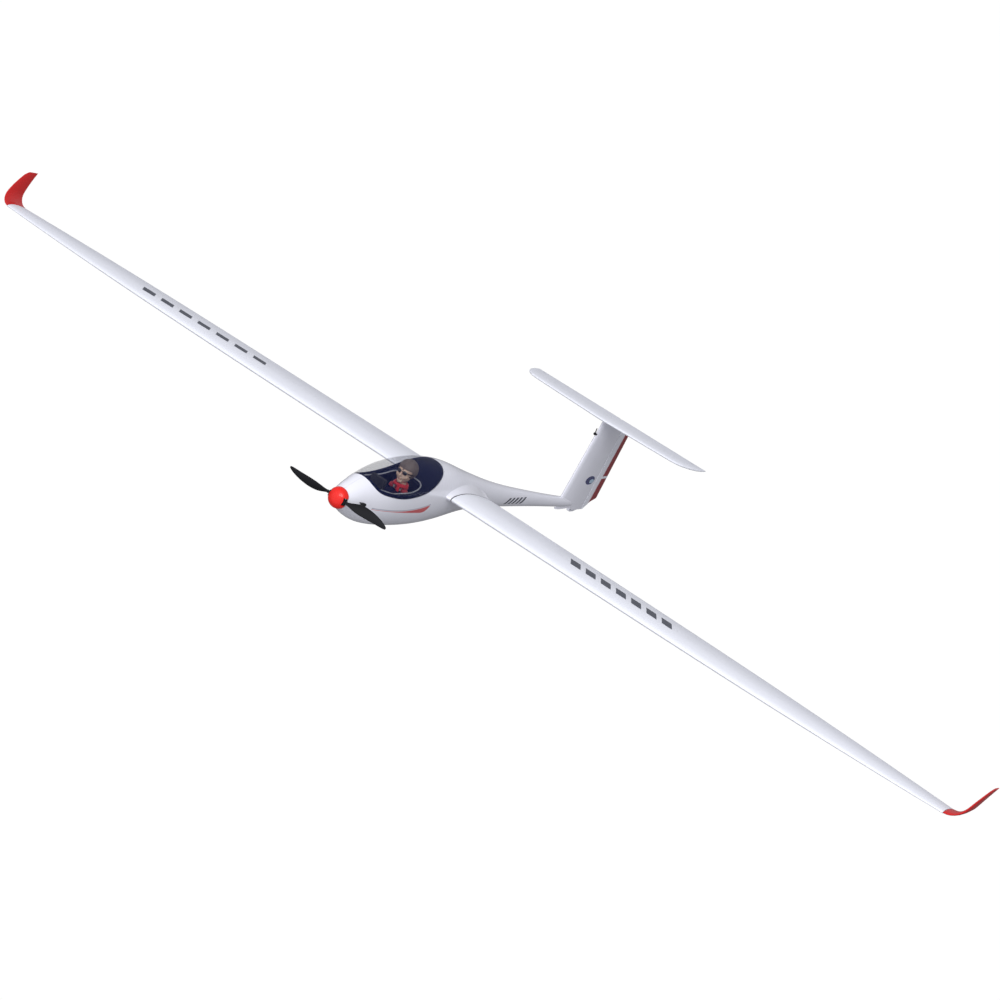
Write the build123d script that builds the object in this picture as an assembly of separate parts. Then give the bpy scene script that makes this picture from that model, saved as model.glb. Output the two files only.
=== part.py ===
from build123d import *
import math
import os

# A powered model sailplane with a T-tail. Millimetres. +X is towards the left wing tip, +Y aft, +Z up.
# The origin is the point of the belly wheel that meets the ground, with the fuselage level as in flight.

# ---- Driving dimensions ----

# fuselage: y, half width, top z, bottom z, from the nose ring to the end of the boom
NOSE_Y, NOSE_Z = -282, 57
FUSELAGE_STATIONS = [
    (NOSE_Y, 20.5, 77.5, 36.5), (-250, 31, 95, 24), (-210, 41, 113, 12), (-160, 49, 130, 6),
    (-100, 53, 142, 4), (-40, 54, 148, 5), (20, 53, 147, 9.5), (90, 48.5, 139, 19),
    (160, 40, 126, 30), (230, 32, 113.5, 37.5), (300, 27, 102, 41.5), (410, 21, 88, 42.5),
    (510, 17, 79, 42.5), (610, 14, 71, 42), (723, 11.5, 63.5, 41), (770, 9, 60, 41),
]
SECTION_POWER = 2.15          # 2 is an ellipse, more is fuller at the corners
WAIST = 0.46                  # height of the widest point, as a share of the section's height
SHELL = 2.2                   # wall of the moulded fuselage

# wing: x, leading edge y, trailing edge y
WING_PLAN = [
    (62, 50.4, 232), (350, 52.8, 226), (650, 55.4, 217.3), (850, 62.3, 205.7),
    (1050, 76.3, 186.1), (1218, 94.8, 163.5),
]
WING_Z = 88
WING_INCIDENCE = 0.7          # degrees, leading edge up
WING_THICKNESS, WING_CAMBER = 0.11, 0.025
TRAILING_EDGE = 1.4
ROOT_RIB = 2
JOINER_Y, JOINER_Z, JOINER_R, JOINER_REACH = 110, 92, 5, 200

# winglet: the wing's plane bends up round an arc and goes on straight; its edges curve back from root to tip
WINGLET_X, WINGLET_BEND, WINGLET_LEAN, WINGLET_STRAIGHT = 1219, 33, 76, 46
WINGLET_ROOT, WINGLET_TIP = (94.9, 163.4), (177, 214)     # leading and trailing edge y
WINGLET_THICKNESS, WINGLET_ARC_STEPS = 0.09, 7

# control surfaces: x and y of the hinge line at both ends
FLAP_HINGE = [(70, 190), (525, 180)]
AILERON_HINGE = [(531, 180), (1195, 150)]
END_GAP = 1.2
NOSE_INSET, COVE_GAP = 0.15, 0.6
HINGE_PIN_R, PIN_REACH, PIN_ROOT, PIN_CLEARANCE = 0.9, 2.2, 10, 0.06
EVEN_SKIN = 0.5               # a surface whose skin varies by less than this has one round nose
FLAP_LINK_X, AILERON_LINK_X = 250, 700
FLAP_RUN, AILERON_RUN = 68, 60          # from the servo arm's axis to the hinge
ARM_LENGTH = 13.5

# tail: the stabiliser's leading edge is straight and swept, then a quarter ellipse out to the tip
STAB_HALF_SPAN, STAB_LEAD_Y, STAB_TRAIL_Y, STAB_TIP_X, STAB_SWEEP = 233, 695, 820, 185, 17
STAB_TIP_ANGLES = [0, 18, 34, 48, 60, 70, 78, 84]
STAB_Z, STAB_THICKNESS = 263, 0.09
ELEVATOR_HINGE_Y, ELEVATOR_HALF_SPAN, ELEVATOR_NOTCH = 782, 205, 7
FIN_PLAN = [(30, 711.6, 905), (257, 728, 902)]      # z, leading edge y, trailing edge y
FIN_THICKNESS = 0.085
FIN_SIDE = [
    (690, 30), (690, 290), (772, 290), (772, 258), (838, 243), (860, 246), (930, 246),
    (930, 66), (905, 62), (875, 54), (847, 36), (785, 35), (765, 41),
]
RUDDER_HINGE_Y, RUDDER_FOOT, RUDDER_TOP = 842, 38, 246
RUDDER_LUGS, LUG_ROOT = (72, 148, 224), 10
TAIL_SKIN = 2.0
ELEVATOR_LINK_X, ELEVATOR_RUN, ELEVATOR_ARM = -14, 58, (10, -9)
RUDDER_LINK_Z, RUDDER_RUN, RUDDER_ARM = 112, 58, 14

# canopy: side view of the cut line, y and z, nose to tail
CANOPY_LINE = [
    (-232, 118), (-230, 104), (-214, 91), (-180, 84), (-130, 82), (-80, 87.5), (-30, 101),
    (5, 119), (28, 136), (36, 152),
]
CANOPY_GAP, GLASS, FRAME_BAND = 0.5, 1.2, 6

# propeller
SPINNER_R, SPINNER_LENGTH, SPINNER_BASE_Y = 21.5, 18.5, NOSE_Y - 2.5
PIVOT_X, PIVOT_Y, PROP_R = 16.5, NOSE_Y - 7.5, 119
HUB_BACK_Y, HUB_FRONT_Y, SHAFT_TIP_Y = NOSE_Y - 4.5, NOSE_Y - 13, NOSE_Y - 17
# blade sections: distance from the shaft, chord, thickness, pitch in degrees, sweep along z
BLADE_SECTIONS = [
    (24, 7, 4.4, 40, 0), (32, 11, 3.6, 38, 1.2), (44, 18, 2.9, 33, 3.0), (58, 21, 2.4, 28, 4.2),
    (76, 19.5, 2.0, 22, 4.6), (94, 15.5, 1.6, 18, 3.9), (108, 11, 1.3, 15, 2.4), (PROP_R, 4, 0.9, 13, 0.6),
]

# belly wheel
WHEEL_R, WHEEL_WIDTH, AXLE_R = 19, 9, 1.5

# pilot bust on the cockpit floor
PILOT_Y, PILOT_SEAT, PILOT_TOP, HEAD_R = -64, 76.05, 142, 19.5


# ---- Helpers ----

def box(x0, x1, y0, y1, z0, z1):
    """A block between two corners."""
    return Pos((x0 + x1) / 2, (y0 + y1) / 2, (z0 + z1) / 2) * Box(x1 - x0, y1 - y0, z1 - z0)


def rod(start, end, radius):
    """A round bar between two points."""
    a, b = Vector(*start), Vector(*end)
    return Solid.make_cylinder(radius, (b - a).length, Plane(origin=a, z_dir=b - a))


def mirrored(shape):
    """The same piece on the right-hand side."""
    return mirror(shape, about=Plane.YZ)


def joined(*shapes):
    """One shape from several that touch or overlap."""
    result = shapes[0]
    for shape in shapes[1:]:
        result = result + shape
    return result


def cut_by(shape, *tools):
    """A shape with each tool taken away from it."""
    for tool in tools:
        shape = shape - tool
    return shape


def group(*shapes):
    """Several separate solids in one node."""
    solids = []
    for shape in shapes:
        solids.extend(shape.solids())
    return Compound(children=solids)


def mix(a, b, share):
    return a + (b - a) * share


def between(table, at):
    """A row of a table, worked out by straight lines between its rows."""
    for low, high in zip(table, table[1:]):
        if at <= high[0]:
            share = (at - low[0]) / (high[0] - low[0])
            return [mix(p, q, share) for p, q in zip(low, high)]
    return list(table[-1])


# ---- Aerofoils ----

def half_thickness(share, thickness):
    """Half the thickness of a standard four-digit section at a share of the chord."""
    f = share
    return 5 * thickness * (0.2969 * math.sqrt(f) - 0.126 * f - 0.3516 * f**2
                            + 0.2843 * f**3 - 0.1036 * f**4)


def camber_line(share, camber, crest=0.4):
    if share < crest:
        return camber / crest**2 * (2 * crest * share - share**2)
    return camber / (1 - crest) ** 2 * ((1 - 2 * crest) + 2 * crest * share - share**2)


def aerofoil_point(share, side, chord, thickness, camber, edge):
    """Place along and height above the chord of a point of the skin. side is 1 above, -1 below, 0 between."""
    height = camber_line(share, camber) * chord
    height += side * (half_thickness(share, thickness) * chord + edge / 2 * share)
    return share * chord, height


def aerofoil_outline(chord, thickness, camber=0.0, edge=TRAILING_EDGE, steps=11):
    """Skin points from the trailing edge, over the top, round the nose and back underneath."""
    shares = [(1 - math.cos(math.pi * i / steps)) / 2 for i in range(steps + 1)]
    upper = [aerofoil_point(f, 1, chord, thickness, camber, edge) for f in reversed(shares)]
    lower = [aerofoil_point(f, -1, chord, thickness, camber, edge) for f in shares[1:]]
    return upper + lower


def closed_wire(points):
    """A smooth skin through the points, closed by a straight trailing edge."""
    return Wire([Spline(*points), Line(points[-1], points[0])])


def wing_height(y, lead, chord):
    """How much the incidence lifts the chord line at y."""
    return WING_Z - (y - lead - 0.25 * chord) * math.tan(math.radians(WING_INCIDENCE))


def wing_wire(x, lead, trail, thickness=WING_THICKNESS):
    chord = trail - lead
    outline = aerofoil_outline(chord, thickness, WING_CAMBER)
    return closed_wire([(x, lead + u, wing_height(lead + u, lead, chord) + v) for u, v in outline])


def wing_skin(x, y, side):
    """Height of the upper or lower skin, or of the middle with side 0."""
    _, lead, trail = between(WING_PLAN, x)
    chord = trail - lead
    _, v = aerofoil_point((y - lead) / chord, side, chord, WING_THICKNESS, WING_CAMBER, TRAILING_EDGE)
    return wing_height(y, lead, chord) + v


# ---- Fuselage ----

def fuselage_wire(y, half_width, top, bottom, inset, steps=24):
    waist = bottom + WAIST * (top - bottom)
    points = []
    for i in range(steps):
        angle = math.pi / 2 + 2 * math.pi * i / steps
        c, s = math.cos(angle), math.sin(angle)
        rise = (top - waist if s > 0 else waist - bottom) - inset
        x = (half_width - inset) * math.copysign(abs(c) ** (2 / SECTION_POWER), c)
        z = waist + rise * math.copysign(abs(s) ** (2 / SECTION_POWER), s)
        points.append((x, y, z))
    return Wire([Spline(*points, periodic=True)])


def fuselage_body(inset=0.0):
    """The pod and boom as a solid, drawn in by inset all round."""
    return Solid.make_loft([fuselage_wire(*row, inset) for row in FUSELAGE_STATIONS])


def fin_wire(z, lead, trail, skin=0.0):
    chord = trail - lead
    points = []
    for u, v in aerofoil_outline(chord, FIN_THICKNESS):
        points.append((v * (1 - 2 * skin / (FIN_THICKNESS * chord)),
                       lead + skin * 2 + u * (1 - skin * 3 / chord), z))
    return closed_wire(points)


def fin_blank():
    """Fin and rudder together, in their side outline."""
    blank = Solid.make_loft([fin_wire(*row) for row in FIN_PLAN])
    return blank & side_prism(FIN_SIDE)


def side_prism(points, half_width=60):
    """A side-view polygon (y, z) carried across the whole width."""
    face = make_face(Polyline([(-half_width, y, z) for y, z in points], close=True))
    return extrude(face, amount=2 * half_width, dir=(1, 0, 0))


def canopy_zone(inset):
    """Everything above the canopy's cut line, drawn in by inset along the line's own normal."""
    line = CANOPY_LINE
    moved = []
    for i, (y, z) in enumerate(line):
        before, after = line[max(i - 1, 0)], line[min(i + 1, len(line) - 1)]
        dy, dz = after[0] - before[0], after[1] - before[1]
        size = math.hypot(dy, dz)
        moved.append((-70, y - dz / size * inset, z + dy / size * inset))
    top = 175
    first, last = moved[0], moved[-1]
    edge = [Spline(*moved), Line(last, (-70, last[1], top)),
            Line((-70, last[1], top), (-70, first[1], top)), Line((-70, first[1], top), first)]
    return extrude(make_face(Wire(edge)), amount=140, dir=(1, 0, 0))


def root_fairing():
    """The flared stub that carries the wing root on the left side."""
    flare = [(28, 34, 268, 0.17), (44, 43.5, 246, 0.132), (62 - ROOT_RIB, 50, 232.6, 0.112)]
    return Solid.make_loft([wing_wire(x, lead, trail, thick) for x, lead, trail, thick in flare])


def fuselage_shells(body, cavity, fin, pockets):
    fairing = root_fairing()
    whole = joined(body, fairing, mirrored(fairing), fin)
    whole = whole - cavity - fin_cavity() - canopy_zone(0)
    whole = whole - box(-6.3, 6.3, -20, 20, -5, 16)
    whole = whole - rod((-70, JOINER_Y, JOINER_Z), (70, JOINER_Y, JOINER_Z), JOINER_R + 0.05)
    whole = cut_by(whole, *pockets)
    left = whole & box(0, 90, -300, 930, -10, 300)
    right = whole & box(-90, 0, -300, 930, -10, 300)
    return left, right


def fin_cavity():
    """The hollow inside the fin, ahead of the rudder's hinge."""
    low, high = 66, 236
    wires = [fin_wire(*between(FIN_PLAN, z), skin=TAIL_SKIN) for z in (low, high)]
    return Solid.make_loft(wires) & box(-20, 20, 700, RUDDER_HINGE_Y - 12, low, high)


# ---- Control surfaces ----

def surface_zone(points, radii, across, reach=90, depth=30):
    """A round nose along a hinge line, and everything aft of it. across is the thickness direction."""
    along = (points[-1] - points[0]).normalized()
    aft = along.cross(Vector(*across))
    aft = aft if aft.Y > 0 else -aft
    wires = []
    for point, radius in zip(points, radii):
        outline = [ThreePointArc((0, radius), (-radius, 0), (0, -radius)),
                   *Polyline((0, -radius), (0, -depth), (reach, -depth), (reach, depth), (0, depth),
                             (0, radius)).edges()]
        wires.append(Wire(outline).moved(Plane(origin=point, x_dir=aft, z_dir=along).location))
    if max(radii) == min(radii):
        return extrude(make_face(wires[0]), amount=(points[-1] - points[0]).length, dir=along)
    return Solid.make_loft(wires, ruled=True)


def split_surface(panel, hinge, across):
    """Cuts a surface from a panel. hinge lists a point, and the skin's least and most distance from it."""
    points = [Vector(*point) for point, _, _ in hinge]
    step = (points[-1] - points[0]).normalized() * END_GAP
    noses = [near - NOSE_INSET for _, near, _ in hinge]
    coves = [far - NOSE_INSET + COVE_GAP for _, _, far in hinge]
    surface = panel & surface_zone([points[0] + step, *points[1:-1], points[-1] - step], noses, across)
    return panel - surface_zone(points, coves, across), surface


def end_pins(start, end, clearance=0.0):
    """The round pins on a hinge line that carry a surface in the panel at both of its ends."""
    a, b = Vector(*start), Vector(*end)
    along = (b - a).normalized()
    outside, inside = along * (PIN_REACH + clearance * 4), along * PIN_ROOT
    return [rod(a - outside, a + inside, HINGE_PIN_R + clearance),
            rod(b - inside, b + outside, HINGE_PIN_R + clearance)]


def wing_hinge(line):
    """A wing surface's straight hinge, with a station at each end and at each kink of the skin between."""
    (x0, y0), (x1, y1) = line
    z0, z1 = wing_skin(x0, y0, 0), wing_skin(x1, y1, 0)
    hinge = []
    for x in [x0, *(row[0] for row in WING_PLAN if x0 < row[0] < x1), x1]:
        share = (x - x0) / (x1 - x0)
        y, z = mix(y0, y1, share), mix(z0, z1, share)
        above, below = wing_skin(x, y, 1) - z, z - wing_skin(x, y, -1)
        hinge.append(((x, y, z), min(above, below), max(above, below)))
    near, far = min(row[1] for row in hinge), max(row[2] for row in hinge)
    if far - near < EVEN_SKIN:
        return [(hinge[0][0], near, far), (hinge[-1][0], near, far)]
    return hinge


# ---- Linkages: one parallelogram for each surface, drawn in the plane square to its hinge ----
# Local x lies along the hinge, local y points aft and local z away from the surface's other side.

ARM_PLATE, PIN_R, HOLE_R, WIRE_R = 1.6, 0.7, 1.0, 0.75


def plate(points, thickness=ARM_PLATE):
    face = make_face(Polyline([(-thickness / 2, y, z) for y, z in points], close=True))
    return extrude(face, amount=thickness, dir=(1, 0, 0))


def across_pin(y, z, radius, x0, x1):
    return rod((x0, y, z), (x1, y, z), radius)


def strap(start, end, start_r, end_r):
    """A flat plate that joins two round ends."""
    (y0, z0), (y1, z1) = start, end
    size = math.hypot(y1 - y0, z1 - z0)
    ny, nz = -(z1 - z0) / size, (y1 - y0) / size
    sides = [(y0 + ny * start_r, z0 + nz * start_r), (y1 + ny * end_r, z1 + nz * end_r),
             (y1 - ny * end_r, z1 - nz * end_r), (y0 - ny * start_r, z0 - nz * start_r)]
    half = ARM_PLATE / 2
    return joined(plate(sides), across_pin(y0, z0, start_r, -half, half),
                  across_pin(y1, z1, end_r, -half, half))


def linkage(frame, arm, run, foot, stub):
    """Servo arm, pushrod and horn. arm: hinge to horn hole. run: hinge to servo axis. foot: horn's base."""
    place = frame.location
    servo, hole = run, (run[0] + arm[0], run[1] + arm[1])
    servo_arm = joined(strap(servo, hole, 3.2, 2.2), across_pin(*servo, 2.0, *stub))
    servo_arm = servo_arm - across_pin(*hole, HOLE_R, -2, 2)

    horn = joined(plate([foot[0], foot[1], (arm[0] + 2, arm[1]), (arm[0] - 2, arm[1])]),
                  across_pin(*arm, 2.4, -ARM_PLATE / 2, ARM_PLATE / 2))
    horn = horn - across_pin(*arm, HOLE_R, -2, 2)

    length = math.hypot(arm[0] - hole[0], arm[1] - hole[1])
    tilt = math.degrees(math.atan2(arm[1] - hole[1], arm[0] - hole[0]))
    side = ARM_PLATE / 2 + WIRE_R + 0.35
    wire = joined(rod((side, 0, 0), (side, length - 9, 0), WIRE_R),
                  rod((-1.6, 0, 0), (side, 0, 0), PIN_R), Pos(side, 0, 0) * Sphere(WIRE_R))
    clevis = box(-2.6, 2.6, length - 12, length + 2.6, -2.2, 2.2)
    clevis = clevis - box(-1.15, 1.15, length - 4.5, length + 5, -4, 4)
    clevis = joined(clevis, rod((-2.6, length, 0), (2.6, length, 0), PIN_R), wire)
    pushrod = Pos(0, *hole) * Rot(X=tilt) * clevis
    return place * servo_arm, place * pushrod, place * horn


def servo_box(length, height, thickness, overhang):
    """A servo lying on its side: its output axis is local x, and its case reaches back from it."""
    case = box(-height - 1.2, -1.2, overhang - length, overhang, -thickness / 2, thickness / 2)
    case = case - rod((-6, 0, 0), (0, 0, 0), 2.15)
    lugs = joined(box(-7.5, -5.9, overhang, overhang + 4, -thickness / 2, thickness / 2),
                  box(-7.5, -5.9, overhang - length - 4, overhang - length, -thickness / 2, thickness / 2))
    return joined(case, lugs)


def link_frame(start, end, at_x):
    """A frame on a wing hinge line at a station, with x along the hinge and z up."""
    a, b = Vector(*start), Vector(*end)
    origin = a + (b - a) * ((at_x - a.X) / (b.X - a.X))
    along = (b - a).normalized()
    return Plane(origin=origin, x_dir=along, z_dir=along.cross(Vector(0, 1, 0)))


def wing_linkage(line, at_x, run):
    """Everything of one wing servo: arm, pushrod, horn, servo and the pocket it sits in."""
    hinge = wing_hinge(line)
    frame = link_frame(hinge[0][0], hinge[-1][0], at_x)
    servo_y = frame.origin.Y - run
    skin = wing_skin(at_x, servo_y, -1)
    servo = (-run, skin + 6.6 - frame.origin.Z)
    under = wing_skin(at_x, frame.origin.Y + 2, -1) - frame.origin.Z
    aft_under = wing_skin(at_x, frame.origin.Y + 14, -1) - frame.origin.Z
    foot = [(3.6, under + 1.2), (14, aft_under + 1.2)]
    arm, pushrod, horn = linkage(frame, (0, -ARM_LENGTH), servo, foot, (-5.5, 0))
    place = frame.location * Pos(0, *servo)
    case = place * servo_box(23, 20, 12, 6)
    pocket = place * joined(box(-22, -0.9, -22, 11, -20, 6.4), box(-1.2, 4.2, -9, 9, -20, 5))
    return arm, pushrod, horn, case, pocket


# ---- Wing ----

def left_wing():
    """The left wing panel with its flap and aileron, their linkages, and the servos."""
    panel = Solid.make_loft([wing_wire(*row) for row in WING_PLAN])
    pieces = {}
    for name, line, at_x, run in (("flap", FLAP_HINGE, FLAP_LINK_X, FLAP_RUN),
                                  ("aileron", AILERON_HINGE, AILERON_LINK_X, AILERON_RUN)):
        hinge = wing_hinge(line)
        ends = hinge[0][0], hinge[-1][0]
        panel, surface = split_surface(panel, hinge, (0, 0, 1))
        arm, pushrod, horn, case, pocket = wing_linkage(line, at_x, run)
        panel = cut_by(panel, pocket, *end_pins(*ends, PIN_CLEARANCE))
        pieces[name] = joined(surface, *end_pins(*ends)) - horn
        pieces[name + "_servo_arm"] = arm
        pieces[name + "_pushrod"] = pushrod
        pieces[name + "_horn"] = horn
        pieces[name + "_servo"] = case
    joiner = rod((60, JOINER_Y, JOINER_Z), (JOINER_REACH + 1, JOINER_Y, JOINER_Z), JOINER_R + 0.05)
    pieces["wing"] = panel - joiner
    return pieces


def root_rib():
    """A thin plastic plate on the wing's root face, with the joiner's hole."""
    _, lead, trail = WING_PLAN[0]
    wires = [wing_wire(x, lead, trail) for x in (62 - ROOT_RIB + 0.05, 61.95)]
    rib = Solid.make_loft(wires)
    return rib - rod((50, JOINER_Y, JOINER_Z), (70, JOINER_Y, JOINER_Z), JOINER_R + 0.05)


def winglet_row(along):
    """x, rise, tilt, leading and trailing edge y at a distance along the bend and the straight."""
    bend = WINGLET_BEND * math.radians(WINGLET_LEAN)
    tilt = min(along / WINGLET_BEND, math.radians(WINGLET_LEAN))
    beyond = max(along - bend, 0)
    x = WINGLET_X + WINGLET_BEND * math.sin(tilt) + beyond * math.cos(tilt)
    rise = 0.4 + WINGLET_BEND * (1 - math.cos(tilt)) + beyond * math.sin(tilt)
    share = along / (bend + WINGLET_STRAIGHT)
    lead = mix(WINGLET_ROOT[0], WINGLET_TIP[0], 0.32 * share + 0.68 * share**2)
    trail = mix(WINGLET_ROOT[1], WINGLET_TIP[1], 0.44 * share + 0.56 * share**2)
    return x, rise, tilt, lead, trail


def winglet():
    bend = WINGLET_BEND * math.radians(WINGLET_LEAN)
    stops = [bend * i / WINGLET_ARC_STEPS for i in range(WINGLET_ARC_STEPS + 1)]
    stops += [bend + WINGLET_STRAIGHT * share for share in (0.3, 0.6, 0.86, 0.96, 1)]
    wires = []
    for along in stops:
        x, rise, tilt, lead, trail = winglet_row(along)
        rounding = max(along - stops[-3], 0) / (stops[-1] - stops[-3])
        lead += 7 * rounding**2
        chord = trail - lead
        points = []
        for u, v in aerofoil_outline(chord, WINGLET_THICKNESS, WING_CAMBER * (1 - tilt * 2 / math.pi), 1.2):
            lift = wing_height(lead + u, lead, chord) - WING_Z
            height = v + lift * math.cos(tilt)
            points.append((x - height * math.sin(tilt), lead + u, WING_Z + rise + height * math.cos(tilt)))
        wires.append(closed_wire(points))
    return Solid.make_loft(wires, ruled=True)


# ---- Tail ----

def stab_wire(x, lead, trail):
    chord = trail - lead
    outline = aerofoil_outline(chord, STAB_THICKNESS, 0.0, 0.9)
    return closed_wire([(x, lead + u, STAB_Z + v) for u, v in outline])


def stab_blank():
    rows = [(0, STAB_LEAD_Y)]
    for angle in STAB_TIP_ANGLES:
        c, s = math.cos(math.radians(angle)), math.sin(math.radians(angle))
        reach = STAB_HALF_SPAN - STAB_TIP_X
        rows.append((STAB_TIP_X + reach * s, STAB_LEAD_Y + STAB_SWEEP + 90 * (1 - c)))
    wires = [stab_wire(x, lead, STAB_TRAIL_Y) for x, lead in rows]
    half = Solid.make_loft(wires, ruled=True)
    return joined(half, mirrored(half))


def stab_half(y):
    """Half the stabiliser's thickness at y, near the middle."""
    chord = STAB_TRAIL_Y - STAB_LEAD_Y
    _, v = aerofoil_point((y - STAB_LEAD_Y) / chord, 1, chord, STAB_THICKNESS, 0.0, 0.9)
    return v


def fin_half(z, y):
    _, lead, trail = between(FIN_PLAN, z)
    chord = trail - lead
    _, v = aerofoil_point((y - lead) / chord, 1, chord, FIN_THICKNESS, 0.0, TRAILING_EDGE)
    return v


def stabiliser_and_elevator(blank):
    half = stab_half(ELEVATOR_HINGE_Y)
    start = (-ELEVATOR_HALF_SPAN, ELEVATOR_HINGE_Y, STAB_Z)
    end = (ELEVATOR_HALF_SPAN, ELEVATOR_HINGE_Y, STAB_Z)
    stab, elevator = split_surface(blank, [(start, half, half), (end, half, half)], (0, 0, 1))
    stab = cut_by(stab, *end_pins(start, end, PIN_CLEARANCE))
    return stab, joined(elevator - elevator_notch(), *end_pins(start, end))


def elevator_notch():
    """The small vee in the middle of the elevator's trailing edge."""
    points = [(-ELEVATOR_NOTCH, 830, 240), (0, 806, 240), (ELEVATOR_NOTCH, 830, 240)]
    return extrude(make_face(Polyline(*points, close=True)), amount=50, dir=(0, 0, 1))


def fin_and_rudder():
    """The fin, and the rudder with a slot and an upright pin for each of its hinge lugs."""
    near, far = fin_half(RUDDER_TOP, RUDDER_HINGE_Y), fin_half(RUDDER_FOOT, RUDDER_HINGE_Y)
    start, end = (0, RUDDER_HINGE_Y, RUDDER_FOOT - 12), (0, RUDDER_HINGE_Y, RUDDER_TOP + 12)
    fin, rudder = split_surface(fin_blank(), [(start, near, far), (end, near, far)], (1, 0, 0))
    for z in RUDDER_LUGS:
        rudder = rudder - box(-9, 9, RUDDER_HINGE_Y - 6, RUDDER_HINGE_Y + 3.2, z - 1.8, z + 1.8)
        rudder = joined(rudder, rod((0, RUDDER_HINGE_Y, z - 6), (0, RUDDER_HINGE_Y, z + 6), HINGE_PIN_R))
    return fin, rudder


def rudder_lugs():
    """Plates let into the fin that reach back round the rudder's pins."""
    lugs = []
    for z in RUDDER_LUGS:
        lug = joined(box(-2.2, 2.2, RUDDER_HINGE_Y - LUG_ROOT, RUDDER_HINGE_Y, z - 1, z + 1),
                     rod((0, RUDDER_HINGE_Y, z - 1), (0, RUDDER_HINGE_Y, z + 1), 2.2))
        lugs.append(lug - rod((0, RUDDER_HINGE_Y, z - 2), (0, RUDDER_HINGE_Y, z + 2),
                              HINGE_PIN_R + PIN_CLEARANCE))
    return lugs


def elevator_linkage():
    frame = Plane(origin=(ELEVATOR_LINK_X, ELEVATOR_HINGE_Y, STAB_Z), x_dir=(1, 0, 0), z_dir=(0, 0, 1))
    half = stab_half(ELEVATOR_HINGE_Y + 5)
    foot = [(3, 1.0 - half), (15, 1.6 - half)]
    arm, pushrod, horn = linkage(frame, ELEVATOR_ARM, (0, -ELEVATOR_RUN), foot, (0, 11.5))
    place = frame.location * Pos(0, 0, -ELEVATOR_RUN)
    case = place * (box(8.8, 16.8, -14.5, 5.5, -10, 10) - rod((8, 0, 0), (12.2, 0, 0), 2.15))
    bay = place * box(4, 17, -15, 6, -10.5, 10.5)
    return arm, pushrod, horn, case, bay


def rudder_linkage():
    frame = Plane(origin=(0, RUDDER_HINGE_Y, RUDDER_LINK_Z), x_dir=(0, 0, 1), z_dir=(-1, 0, 0))
    half = fin_half(RUDDER_LINK_Z, RUDDER_HINGE_Y + 3)
    foot = [(2.5, half - 1.2), (15, half - 2.2)]
    arm, pushrod, horn = linkage(frame, (0, RUDDER_ARM), (-RUDDER_RUN, 0), foot, (-5.5, 0))
    place = frame.location * Pos(0, -RUDDER_RUN, 0)
    case = place * (box(-21.2, -1.2, -14.5, 5.5, -4, 4) - rod((-6, 0, 0), (0, 0, 0), 2.15))
    slot = place * box(-3.4, 3.4, -10, 10, -3, 20)
    return arm, pushrod, horn, case, slot


def tail_skid():
    """A small moulded shoe under the foot of the fin."""
    outline = [(783, 37), (786, 29.5), (790, 28), (806, 28.6), (826, 34.2), (828, 37)]
    return side_prism(outline, half_width=3.5)


def fin_probe():
    """A short probe on a fitting at the fin's leading edge."""
    lead = between(FIN_PLAN, 224)[1]
    return joined(rod((0, lead + 1, 222.5), (0, lead - 8, 224), 2.4),
                  rod((0, lead - 8, 223.8), (0, lead - 11, 237), 1.1), Pos(0, lead - 8, 223.9) * Sphere(3.4))


# ---- Canopy and cockpit ----

def canopy_pieces(body):
    glass_inside = fuselage_body(GLASS)
    frame_outside, frame_inside = fuselage_body(GLASS + 0.15), fuselage_body(GLASS + 4.4)
    glass = (body - glass_inside) & canopy_zone(CANOPY_GAP)
    frame = (frame_outside - frame_inside) & (canopy_zone(CANOPY_GAP) - canopy_zone(FRAME_BAND))
    floor_room, well_room = fuselage_body(GLASS + 4.55), fuselage_body(GLASS + 7)
    plate_zone = canopy_zone(CANOPY_GAP) - canopy_zone(CANOPY_GAP + 2)
    well_outside = box(-36, 36, -186, -38, 74, 120) - canopy_zone(CANOPY_GAP)
    well_inside = box(-34, 34, -184, -40, 76, 160)
    floor = floor_room & joined(plate_zone, well_outside)
    floor = floor - (well_inside & well_room)
    return glass, frame, floor


def instrument_panel():
    """A hooded panel that stands on the cockpit floor ahead of the pilot."""
    outline = [(-166, 76.1), (-158, 76.1), (-158, 101), (-162, 106), (-168, 104)]
    panel = side_prism(outline, half_width=17)
    return fillet(panel.edges().filter_by(Axis.X).group_by(Axis.Z)[-1], 1.5)


def pilot_figure():
    """A plain turned bust: shoulders, neck and capped head."""
    chin = PILOT_TOP - 2 * HEAD_R * 1.22
    profile = [(0, PILOT_SEAT), (20, PILOT_SEAT), (22.5, 84), (18, 92.5), (9.5, chin - 1), (8.5, chin + 3)]
    head = [(8.5, chin + 3), (HEAD_R * 0.93, chin + HEAD_R * 0.8),
            (HEAD_R, PILOT_TOP - HEAD_R), (0, PILOT_TOP)]
    edges = [*Polyline(*profile).edges(), Spline(*head, tangents=[(1, 0.3), (-1, 0)]),
             Line((0, PILOT_TOP), (0, PILOT_SEAT))]
    flat = Plane.XZ * make_face(edges)
    return Pos(0, PILOT_Y, 0) * revolve(flat, Axis.Z)


# ---- Nose, motor and propeller ----

def ring(y0, y1, outer, inner, z=NOSE_Z):
    return rod((0, y0, z), (0, y1, z), outer) - rod((0, y0 - 1, z), (0, y1 + 1, z), inner)


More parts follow.
